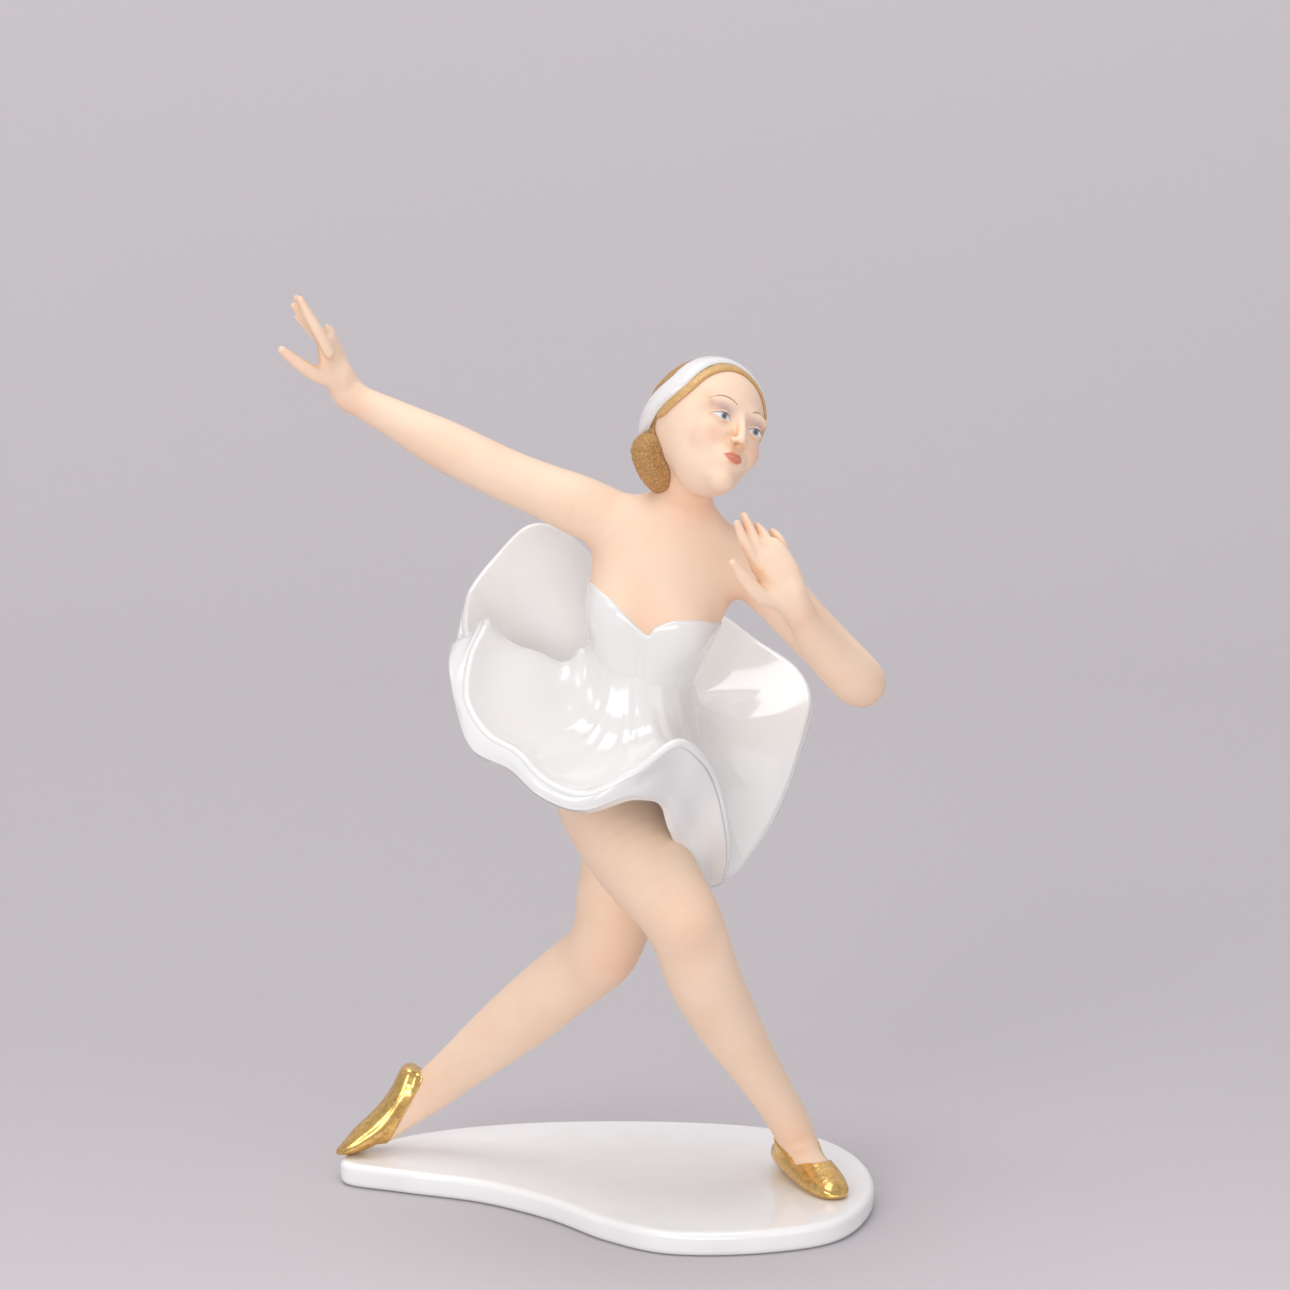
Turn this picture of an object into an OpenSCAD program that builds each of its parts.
// Porcelain ballerina figurine: a dancer in a deep crossing step on a flat, kidney-shaped base.
// The separate castings and their shells meet face to face where the clay parts are luted together.
// Units are millimetres. +Z is up, -Y is the front, and the origin is the middle of the base's
// underside.

/* [Base] */
// Thickness of the base plate
base_t = 5.4; // [4:0.2:8]
// Scale of the base outline, 1 is a plate 118 mm long
base_scale = 1; // [0.97:0.01:1.1]
// Set-back of the rounded upper and lower edge of the base
base_edge = 0.8; // [0.3:0.1:1.5]

/* [Figure] */
// Girth of both legs, 1 is as designed
leg_girth = 1; // [0.9:0.02:1.1]
// Girth of both arms, 1 is as designed
arm_girth = 1; // [0.9:0.02:1.1]
// Height of the head from chin to crown, without the hair
head_h = 31.5; // [29:0.5:33]
// Fullness of the bust and back in front-to-back direction
torso_depth = 1; // [0.9:0.02:1.1]

/* [Dress] */
// Thickness of the bodice over the body
bodice_t = 0.5; // [0.3:0.1:1]
// Thickness of each skirt layer
skirt_t = 2.0; // [1.4:0.1:2.4]
// Reach of the skirt hem from the waist, 1 is as designed
skirt_reach = 1; // [0.9:0.02:1.05]
// Depth of the bowl between waist and hem
skirt_bowl = 4; // [1:0.5:6]

/* [Hair and shoes] */
// Thickness of the hair over the skull
hair_t = 0.9; // [0.6:0.1:1.4]
// Width of the headband
band_w = 5.4; // [3:0.2:7]
// Thickness of the headband over the skull
band_t = 1.5; // [1:0.1:2.2]
// Height of the front shoe at the heel, above the base
shoe_h = 8; // [7:0.5:9]

/* [Hidden] */

skin = "#F6DCC0";
glaze = "#F4F3F1";
gold = "#C79A3B";
hair = "#B98A45";
far = 200;              // reach of a cutting block, larger than the figure
limb_sides = 20;        // sides of a limb's rings
skirt_sides = 84;       // steps around the skirt
skirt_steps = 6;        // steps from waist to hem
seam = 0.15;            // gap left between the skirt layers
stand = base_t - 6;     // the figure is drawn standing on a base 6 mm thick
shoe_low = 6;           // height of that base's top
under_hair = 0.5;       // hair that runs on under the headband
fringe_w = 1.8;         // strip of hair in front of the headband
fringe_low = -1;        // where that strip ends at the temples, in the head's frame
shoe_mouth = [45, -4.4, 14];      // middle of the front shoe's opening

// Outline of the base, counterclockwise from the right end: x, y
base_outline = [[59, -12], [58, 8], [49.5, 24.5], [33, 34], [8, 37.5], [-20, 36], [-42, 29],
                [-57, 17], [-59, 7], [-46, 1], [-28, -6], [-13, -17], [0, -31], [14, -39.5],
                [34, -39], [51, -31]];

// Limb stations: x, y, z, half width, half depth
front_leg_path = [[-2.4, 7, 96, 8, 8], [-0.2, 2, 92, 10.6, 11.2], [4.6, -10, 86.5, 10.6, 11.2],
                  [9.6, -19, 81, 9.8, 9.6], [15.4, -25, 74.5, 8.6, 8.2],
                  [18.2, -24.5, 68.5, 8.2, 7.6], [21.4, -21, 58, 8, 7.8], [26.4, -15.5, 46.5, 7.1, 7],
                  [31.8, -10.5, 36, 5.8, 5.9], [37.4, -5.5, 25.5, 4.8, 4.9],
                  [41.2, -1.5, 17.5, 4.5, 4.7], [43, 0.5, 12, 4.1, 4.6], [43.4, 1, 7, 3.6, 4]];
front_foot_path = [[41.2, 2.4, 9.5, 1.5, 1.5], [43, -1.4, 10.8, 3.6, 3.5],
                   [45.7, -7, 10, 3.9, 3], [48.3, -12, 8.7, 3.9, 2], [50, -15.4, 7.8, 2.6, 1.1]];
rear_leg_path = [[9, 8, 96, 8, 8], [8, 7, 91, 10.5, 10.5], [5.5, 4, 80, 10.4, 10.4],
                 [2.8, 0.5, 70, 9.2, 9.2], [0.8, -2.5, 62, 8.2, 8.2], [-2.5, -1, 56.3, 8, 7.8],
                 [-9, 3, 49.8, 7.8, 7.8], [-17.8, 7, 41.2, 7.5, 7.5], [-26.4, 10.5, 33, 6.5, 6.5],
                 [-34, 13.5, 25.6, 5.4, 5.4], [-40, 15.4, 20, 5, 5],
                 [-45, 15.8, 15.4, 4.5, 4.5], [-50, 15, 11, 3.4, 3.4]];
raised_arm_path = [[4, 3, 153, 6.5, 6.5], [-5.5, 3, 157.3, 6.6, 6.6], [-13, 4.5, 160.2, 6, 6],
                   [-21, 6, 163.3, 5.7, 5.7], [-29, 8, 166.8, 5.6, 5.6], [-35, 10, 169.4, 5.5, 5.4],
                   [-41, 12, 172.2, 4.8, 4.7], [-47, 14, 175, 4.1, 4],
                   [-53, 15.6, 177.8, 3.5, 3.1], [-56.6, 16, 180, 3.3, 2.8]];
bent_arm_path = [[24, 2, 150, 6, 6], [31, 2.5, 145, 6.6, 6.6], [37, 1.5, 138.5, 6, 6],
                 [44.4, 0.5, 130.6, 5.7, 5.7], [51.4, -0.5, 123.6, 5.6, 5.6],
                 [55.6, -3, 119.6, 5.5, 5.5], [54, -6.8, 121.2, 5.4, 5.4],
                 [49, -10.8, 126.8, 4.9, 4.9], [44.6, -15.2, 133.2, 4, 4],
                 [41.2, -18.8, 139.4, 3.3, 3.3]];

// Torso stations: x, y, z, half width, half depth, tilt about Y in degrees
pelvis_stations = [[3, 6, 86, 7, 6, 2], [3.5, 5.5, 89, 12, 10.5, 2], [4.2, 4.6, 95, 13.4, 11.8, 3],
                   [5.2, 3.4, 101, 12, 10.4, 4], [6.2, 2.4, 106, 9.9, 8.3, 5]];
torso_stations = [[6.2, 2.4, 106, 9.9, 8.3, 5], [7.2, 1, 113, 9.9, 8, 6], [8.3, 0.6, 121, 11, 8.8, 8],
                  [9.6, -0.2, 129, 13.2, 9.8, 12], [11, -1, 136, 15, 10.8, 15],
                  [12.8, -0.4, 143, 15.8, 9.6, 16], [14.4, 1, 149, 15.6, 8.2, 16],
                  [16, 1.6, 154.5, 12, 7, 16], [17, 1.4, 158, 8, 6.3, 14]];
neck_path = [[16.4, 1.6, 155, 6.3, 6], [17.6, 1.2, 159.5, 5.6, 5.6], [18.8, 0.4, 164, 5.4, 5.5],
             [20, 0, 169, 5.4, 5.5], [20.5, 0, 173, 5, 5]];

// Skirt hems: angle from +X, radius from the waist's axis, height
upper_hem = [[4, 30, 90], [12, 36, 103], [20, 40, 111], [31, 40.5, 116], [46, 38, 120.5],
             [60, 35.5, 126], [75, 35, 127], [91, 34.5, 132], [108, 34.5, 139],
             [120, 35.5, 145.5], [131, 37.5, 146.5], [143, 40, 140], [155, 41, 134],
             [164, 40, 127.5], [171, 36.5, 124.5], [180, 31.5, 130], [192, 37, 123.5],
             [203, 40, 117], [216, 40, 112], [229, 39, 109.5], [241, 39.5, 104.5],
             [254, 40, 103], [269, 39, 108], [283, 36.5, 113.5], [293, 34, 109.5],
             [303, 30.5, 102], [313, 27.5, 91], [323, 24, 83], [335, 20.5, 77], [352, 23, 79]];
waist = [7.2, 1.2];
inner_edge = [11, 9, 111.6];      // half width, half depth and height of the skirt's inner edge
// From the upper layer's rim to the lower layer's rim: angle from +X, and the way in x, y, z
lower_rim = [[4, 0.4, 0, -2], [60, 0.4, 0.4, -2.2], [131, 0, 0.5, -2.2], [155, -0.3, 0.3, -1.8],
             [164, -0.8, 0.2, -0.8], [171, -4.4, 0.6, -1.2], [180, -9, 0, -7], [186, -6.5, -0.5, -4],
             [192, -4, -0.8, -1.8], [203, -1.4, -0.5, -2], [216, -2.2, -0.8, -3.2],
             [229, -1, -0.8, -3.2], [241, -0.9, -0.6, -2.6], [254, 0, -0.3, -2.9],
             [262, 0, 0.3, -3.4], [269, -0.5, 1, -5.2], [276, -1.6, 2.4, -9.5], [283, -3.3, 4, -14],
             [293, -5.9, 5, -16.6], [303, -7.4, 5, -15], [313, -7.4, 4, -10.4],
             [323, -6.2, 3, -5.8], [335, -3, 1.5, -2], [352, -0.6, 0, -1.8]];
skirt_t_steps = [for (k = [0 : skirt_steps]) k / skirt_steps];
skirt_angles = [for (k = [0 : skirt_sides - 1]) 360 * k / skirt_sides];

// The head's own frame: +X is the figure's left, -Y its face, +Z its crown
head_at = [22.4, -2.6, 174.8];
head_turn = [-22, 29, 27];
skull = [10.6, 12.4, 11.6];       // half sizes of the skull
skull_at = [0, 1.6, 2.6];

// Front edge of the headband and hairline behind the ear, on the head's side view: y, z
band_edge = [[30, -8], [17, -6.2], [11.2, -4.2], [6, -2], [1.6, 0.6], [-1.9, 2.9], [-4.3, 5.6],
             [-5.3, 9.2], [-5.6, 13], [-5.4, 30]];
hairline = [[7.5, -30], [5.2, -12], [4.4, -8.4], [4.6, -5.5], [5.4, -2.6], [1.6, 1.2], [-1.9, 3.6],
            [-4.1, 6], [-5.1, 9.4], [-5.4, 13], [-5.2, 30]];

// Neckline of the bodice, from the figure's right to its left: x, z
neckline = [[-12, 143], [-5, 142], [-1.5, 141], [2, 138.6], [5.5, 135], [9.3, 131.6], [10.6, 133.2],
            [15, 134.8], [20, 134.6], [25, 132.8], [34, 128]];
back_neckline = [[-20, 143], [40, 127]];

function xyz(v) = [v[0], v[1], v[2]];
function unit(v) = v / norm(v);
function along(a, b, c, d, t) =
    0.5 * (2 * b + (c - a) * t + (2 * a - 5 * b + 4 * c - d) * t * t
    + (3 * b - a - 3 * c + d) * t * t * t);
function open_curve(p, per) = let (m = len(p) - 1)
    [for (i = [0 : m - 1]) for (k = [0 : per - 1])
        along(p[max(i - 1, 0)], p[i], p[i + 1], p[min(i + 2, m)], k / per),
     p[m]];
function closed_curve(p, per) = let (m = len(p))
    [for (i = [0 : m - 1]) for (k = [0 : per - 1])
        along(p[(i + m - 1) % m], p[i], p[(i + 1) % m], p[(i + 2) % m], k / per)];
function ring(c, side, up, w, d, n) =
    [for (k = [0 : n - 1]) c + w * cos(360 * k / n) * side + d * sin(360 * k / n) * up];

// Rings square to a path of [x, y, z, half width, half depth]
function limb_rings(path, per, n, ref, girth) =
    let (c = open_curve(path, per), m = len(c) - 1)
    [for (i = [0 : m])
        let (dir = unit(xyz(c[min(i + 1, m)]) - xyz(c[max(i - 1, 0)])),
             side = unit(cross(ref, dir)),
             up = cross(dir, side))
        ring(xyz(c[i]), side, up, c[i][3] * girth, c[i][4] * girth, n)];

// Rings tilted about Y, of [x, y, z, half width, half depth, tilt]
function body_rings(stations, per, n, grow) =
    [for (s = open_curve(stations, per))
        ring(xyz(s), [cos(s[5]), 0, -sin(s[5])], [0, 1, 0],
             s[3] + grow, s[4] * torso_depth + grow, n)];

// Values on a closed curve of [angle, x, y, z ...] rows, at one angle
function values(row) = [for (k = [1 : len(row) - 1]) row[k]];
function hem_at(hem, a) =
    let (m = len(hem),
         i = max([for (k = [0 : m - 1]) if (hem[k][0] <= a || k == 0) k]),
         b = hem[a < hem[0][0] ? m - 1 : i],
         c = hem[a < hem[0][0] ? 0 : (i + 1) % m],
         p = hem[a < hem[0][0] ? m - 2 : (i + m - 1) % m],
         q = hem[a < hem[0][0] ? 1 : (i + 2) % m],
         span = (c[0] - b[0] + 360) % 360,
         t = ((a - b[0] + 360) % 360) / span)
    along(values(p), values(b), values(c), values(q), t);

// A point of the upper layer's middle surface, t runs from waist 0 to hem 1
function upper_point(a, t) =
    let (h = hem_at(upper_hem, a),
         inner = inner_edge[0] * inner_edge[1]
                 / norm([inner_edge[1] * cos(a), inner_edge[0] * sin(a)]),
         r = inner + (h[0] * skirt_reach - inner) * t,
         z = inner_edge[2] + (h[1] - inner_edge[2]) * pow(t, 1.2) - skirt_bowl * 4 * t * (1 - t))
    [waist[0] + r * cos(a), waist[1] + r * sin(a), z];

// The way up from that surface, upright at the waist and square to the surface at the hem
function upper_normal(a, t) =
    let (low = max(t - 0.02, 0),
         da = upper_point((a + 2) % 360, t) - upper_point((a + 358) % 360, t),
         dt = upper_point(a, t + 0.02) - upper_point(a, low),
         lean = min(1, 3 * t))
    unit((1 - lean) * [0, 0, 1] + lean * unit(cross(dt, da)));

// A point on the lower layer's upper side, against the upper layer
function lower_top(a, t) = upper_point(a, t) - (skirt_t / 2 + seam) * upper_normal(a, t);

// A point on its underside, which leaves the upper side gently and ends at the lower rim
function lower_under(a, t) =
    let (way = hem_at(lower_rim, a) * skirt_reach)
    lower_top(a, t) + pow(t, 4) * way - 1.6 * (1 - pow(t, 4)) * upper_normal(a, t);

// Skins the space between consecutive rings, with a flat cap on each end
module loft(rings) {
    m = len(rings);
    n = len(rings[0]);
    sides = [for (j = [0 : m - 2]) for (i = [0 : n - 1])
        let (k = (i + 1) % n)
        each [[j * n + i, (j + 1) * n + i, (j + 1) * n + k], [j * n + i, (j + 1) * n + k, j * n + k]]];
    caps = [[for (i = [0 : n - 1]) i], [for (i = [n - 1 : -1 : 0]) (m - 1) * n + i]];
    polyhedron([for (r = rings) each r], concat(caps, sides), convexity = 8);
}

// Skins rings that close on themselves, like a tyre
module closed_loft(rings) {
    m = len(rings);
    n = len(rings[0]);
    faces = [for (j = [0 : m - 1]) for (i = [0 : n - 1])
        let (k = (i + 1) % n, u = (j + 1) % m)
        each [[j * n + i, u * n + i, u * n + k], [j * n + i, u * n + k, j * n + k]]];
    polyhedron([for (r = rings) each r], faces, convexity = 10);
}

// Keeps a freely formed body as one clean skin
module fused() {
    resize([0, 0, 0]) union() children();
}

module above(z) {
    translate([-far, -far, z]) cube([2 * far, 2 * far, far]);
}

module limb(path, girth = 1, ref = [0, -1, 0]) {
    loft(limb_rings(path, 2, limb_sides, ref, girth));
}

module base_slab(z, h, inset) {
    shrink = 1 - inset / 40;
    translate([0, 0, z]) linear_extrude(h)
        polygon(closed_curve(base_outline, 5) * base_scale * shrink);
}

// Skins an underside and an upper side, which are rings of points from the waist to the hem
module skirt_shell(under_side, upper_side, rim) {
    last = len(under_side) - 1;
    closed_loft(concat([for (k = [last : -1 : 0]) under_side[k]], upper_side, [rim]));
}

module whole_torso(grow = 0) {
    loft(body_rings(torso_stations, 2, 32, grow));
}

module whole_pelvis() {
    loft(body_rings(pelvis_stations, 2, 32, 0));
}

// Everything above the neckline, which is a sweetheart in front and straight across the back
module above_neckline() {
    front = concat(open_curve(neckline, 3), [[60, 128], [60, far], [-60, far], [-60, 143]]);
    back = concat(back_neckline, [[60, far], [-60, far]]);
    rotate([90, 0, 0]) linear_extrude(far) polygon(front);
    rotate([90, 0, 0]) translate([0, 0, -far]) linear_extrude(far) polygon(back);
}

module in_head_frame() {
    translate(head_at) rotate(head_turn) scale(head_h / 29) children();
}

// Skull with an added thickness all over, turned so that no row of facets lies along a cut
module skull_shell(grow) {
    translate(skull_at) scale(skull + [grow, grow, grow]) rotate([3, 5, 7]) sphere(r = 1, $fn = 30);
}

// Face and jaw as rings from the chin to the crown: height, centre y, half width, half depth
module face() {
    // x, y, z, half width, half depth
    stations = [[0, -6.4, -14.6, 0.6, 0.6], [0, -6.2, -14.2, 2.6, 2.6], [0, -5.2, -12.8, 4.6, 4.6],
                [0, -3.4, -9.6, 7.2, 7.4], [0, -1.6, -5.6, 9.2, 9.4], [0, -0.2, -1, 10.2, 11],
                [0, 0.8, 4, 10.4, 11.8], [0, 1.4, 9, 8.6, 9.6], [0, 1.6, 12.4, 5, 5.8],
                [0, 1.6, 13.8, 1, 1.2]];
    loft(limb_rings(stations, 2, 28, [0, 1, 0], 1));
    limb([[0, -10.6, 1.2, 0.5, 0.4], [0, -11.3, -1.2, 1, 0.9], [0, -11.6, -3.4, 1.5, 1.4],
          [0, -10.6, -4.4, 1.2, 0.8]]);
}

module head_solid() {
    in_head_frame() {
        face();
        skull_shell(0);
    }
    limb(neck_path);
}

// Everything that lies more than gap behind a line drawn on the head's side view
module behind(line, gap) {
    rotate([90, 0, 90]) linear_extrude(far, center = true) offset(delta = -gap)
        polygon(concat(line, [[40, 30], [40, line[0][1]]]));
}

// The space that the headband fills, in the head's frame
module band_space() {
    intersection() {
        skull_shell(band_t);
        difference() {
            behind(band_edge, 0);
            behind(band_edge, band_w);
        }
    }
}

// Palm, four fingers and thumb: each path holds x, y, z, half width, half depth
module hand(palm, fingers, ref) {
    loft(limb_rings(palm, 3, 16, ref, 1));
    for (f = fingers)
        loft(limb_rings(f, 2, 8, ref, 1));
}

raised_palm = [[-55.6, 15.8, 179.2, 3, 2.4], [-57.8, 16, 183, 3.9, 2.2],
               [-59.6, 15.4, 187.6, 4.4, 1.9], [-60.6, 14.6, 191.6, 3.8, 1.4]];
raised_fingers = [
    [[-60, 11.6, 189.6, 1.3, 1.2], [-62.2, 10.8, 194.2, 1.25, 1.2], [-64.4, 10.6, 198.2, 1.05, 1],
     [-66, 10.6, 201.6, 0.75, 0.75]],
    [[-60.6, 13.6, 190.4, 1.3, 1.2], [-63.2, 13.2, 195, 1.25, 1.2], [-65.4, 13.2, 198.6, 1.05, 1],
     [-66.9, 13.4, 201.4, 0.75, 0.75]],
    [[-60.8, 15.8, 190.2, 1.3, 1.2], [-63.6, 15.8, 194.4, 1.2, 1.1], [-66, 16.2, 197.2, 1, 1],
     [-67.8, 16.8, 199, 0.75, 0.75]],
    [[-60.6, 17.8, 189, 1.2, 1.1], [-63.4, 18.4, 192.4, 1.1, 1], [-65.6, 19, 194.6, 0.95, 0.9],
     [-67.2, 19.6, 196, 0.7, 0.7]],
    [[-58, 14, 183, 1.7, 1.6], [-62.4, 11.6, 184.6, 1.7, 1.6], [-66.4, 9.8, 187.4, 1.4, 1.3],
     [-70, 8.6, 190.6, 0.9, 0.9]]];
bent_palm = [[41.2, -18.6, 139, 3, 2.6], [39.2, -19.8, 143, 3.9, 2.3], [37.2, -20.2, 147, 4.6, 2],
             [35, -20, 151, 4.3, 1.5]];
bent_fingers = [
    [[32.6, -20.4, 149, 1.35, 1.2], [30.8, -21, 152.6, 1.3, 1.2], [29.4, -21.2, 155.6, 1.1, 1],
     [28.3, -21, 158.4, 0.8, 0.8]],
    [[34.2, -20, 150.6, 1.35, 1.2], [32.2, -19.8, 154.2, 1.3, 1.2], [30.8, -19.4, 157.2, 1.1, 1],
     [29.8, -18.6, 159.6, 0.8, 0.8]],
    [[36.2, -19.6, 151.2, 1.3, 1.2], [34.8, -18.8, 154, 1.25, 1.1], [33.6, -17.8, 155.8, 1.05, 1],
     [32.6, -16.6, 157, 0.75, 0.75]],
    [[38.4, -19, 150.2, 1.25, 1.1], [37.8, -18, 153, 1.2, 1], [36.8, -16.8, 154.8, 1, 0.9],
     [35.8, -15.6, 155.6, 0.7, 0.7]],
    [[38, -20, 141.4, 1.8, 1.7], [33.8, -22.2, 142.8, 1.7, 1.6], [30.2, -24, 146.6, 1.4, 1.3],
     [27.4, -25, 150.6, 0.9, 0.9]]];

module raised_hand_solid() hand(raised_palm, raised_fingers, [0.8, -0.5, 0.4]);
module bent_hand_solid() hand(bent_palm, bent_fingers, [0, -1, 0]);

module front_leg_solid() {
    limb(front_leg_path, leg_girth);
    limb(front_foot_path, leg_girth, [0, 0, 1]);
}

module rear_leg_solid() {
    limb(rear_leg_path, leg_girth);
}

// Volume of a slipper around the front foot
module front_slipper() {
    low = shoe_low + 1.2;
    heel = (shoe_h - 1) / 2;
    path = [[39.8, 5.6, low + 2.4, 1.6, 2.2], [40.8, 3.4, low + heel - 1, 4, heel],
            [42.6, -0.6, low + heel - 1.2, 4.7, heel - 0.2], [45, -6, low + 1.8, 4.9, 3.6],
            [47.6, -11.4, low + 1, 4.8, 3], [49.8, -15.6, low + 0.4, 3.8, 2.3],
            [51.2, -18, low, 1.4, 1]];
    limb(path, 1, [0, 0, 1]);
}

// Volume of a slipper around the rear foot, heel lifted, toes on the base
module rear_slipper() {
    low = shoe_low;
    path = [[-44.2, 17.6, 26.2, 1.2, 1.4], [-45.2, 17.6, 24, 3.2, 3], [-47.4, 17, 20, 4.4, 4.4],
            [-50.4, 15.8, 15.6, 4.7, 4.4], [-53.6, 14.4, 11.4, 4.7, 4],
            [-56.6, 13, low + 2.4, 4, 2.7], [-59.4, 11.8, low + 1.2, 1.4, 1.2]];
    limb(path, 1, [0.6, 0.2, 0.8]);
}

module base_plate() color(glaze) {
    base_slab(0, base_edge, base_edge);
    base_slab(base_edge, base_t - 2 * base_edge, 0);
    base_slab(base_t - base_edge, base_edge, base_edge);
}

// Lifts a part of the figure onto the base
module on_base() {
    translate([0, 0, stand]) children();
}

module front_leg() color(skin) on_base() fused() difference() {
    intersection() {
        front_leg_solid();
        above(shoe_low + 0.8);
    }
    whole_pelvis();
}

module rear_leg() color(skin) on_base() fused() difference() {
    intersection() {
        rear_leg_solid();
        above(shoe_low + 0.8);
    }
    whole_pelvis();
    front_leg_solid();
}

module front_shoe() color(gold) on_base() fused() difference() {
    intersection() {
        front_slipper();
        above(shoe_low);
    }
    front_leg_solid();
    translate(shoe_mouth) rotate([-18, 0, 28]) translate([-far / 2, -5.6, 0]) cube([far, 15, far]);
}

module rear_shoe() color(gold) on_base() fused() difference() {
    intersection() {
        rear_slipper();
        above(shoe_low);
    }
    rear_leg_solid();
}

module pelvis() color(glaze) on_base() fused() whole_pelvis();

module bodice() color(glaze) on_base() fused() difference() {
    whole_torso(bodice_t);
    above_neckline();
    whole_pelvis();
}

module torso() color(skin) on_base() fused() intersection() {
    whole_torso();
    above_neckline();
}

module skirt_upper() color(glaze) on_base() {
    half = skirt_t / 2;
    middle = [for (t = skirt_t_steps) [for (a = skirt_angles) upper_point(a, t)]];
    up = [for (t = skirt_t_steps) [for (a = skirt_angles) upper_normal(a, t)]];
    rim = 1.35 * middle[skirt_steps] - 0.35 * middle[skirt_steps - 1];
    skirt_shell([for (k = [0 : skirt_steps]) middle[k] - half * up[k]],
                [for (k = [0 : skirt_steps]) middle[k] + half * up[k]], rim);
}

module skirt_lower() color(glaze) on_base() {
    top = [for (t = skirt_t_steps) [for (a = skirt_angles) lower_top(a, t)]];
    under = [for (t = skirt_t_steps) [for (a = skirt_angles) lower_under(a, t)]];
    middle = (top[skirt_steps] + under[skirt_steps]) / 2;
    rim = middle + 0.1 * (top[skirt_steps] - top[skirt_steps - 1]);
    skirt_shell(under, top, rim);
}

module head() color(skin) on_base() fused() difference() {
    head_solid();
    whole_torso();
}

// Rolled hair at the nape, in the head's frame
module nape_roll() {
    limb([[-8.8, 6.4, -5.4, 1.4, 1.4], [-7.4, 8.4, -6.8, 3, 2.9], [-2.5, 10.2, -8.5, 3.8, 3.5],
          [2.5, 10.2, -8.5, 3.8, 3.5], [7.4, 8.4, -6.8, 3, 2.9], [8.8, 6.4, -5.4, 1.4, 1.4]],
         1, [0, 0.1, 1]);
}

module hair_back() color(hair) on_base() fused() difference() {
    in_head_frame() {
        intersection() {
            skull_shell(hair_t);
            behind(band_edge, band_w);
        }
        intersection() {
            skull_shell(under_hair);
            behind(hairline, 0);
        }
        nape_roll();
    }
    head_solid();
}

module hair_fringe() color(hair) on_base() fused() difference() {
    in_head_frame() difference() {
        intersection() {
            skull_shell(under_hair);
            behind(band_edge, -fringe_w);
            above(fringe_low);
        }
        behind(hairline, 0);
        band_space();
    }
    head_solid();
}

module headband() color(glaze) on_base() fused() difference() {
    in_head_frame() difference() {
        band_space();
        skull_shell(under_hair);
        nape_roll();
    }
    head_solid();
}

module raised_arm() color(skin) on_base() fused() difference() {
    limb(raised_arm_path, arm_girth, [0, -1, 0]);
    whole_torso(bodice_t);
    raised_hand_solid();
}

module raised_hand() color(skin) on_base() fused() raised_hand_solid();

module bent_arm() color(skin) on_base() fused() difference() {
    limb(bent_arm_path, arm_girth, [0.6, 0.6, 0.5]);
    whole_torso(bodice_t);
    bent_hand_solid();
}

module bent_hand() color(skin) on_base() fused() bent_hand_solid();

base_plate();
front_leg();
rear_leg();
front_shoe();
rear_shoe();
pelvis();
bodice();
torso();
skirt_upper();
skirt_lower();
head();
hair_back();
hair_fringe();
headband();
raised_arm();
raised_hand();
bent_arm();
bent_hand();
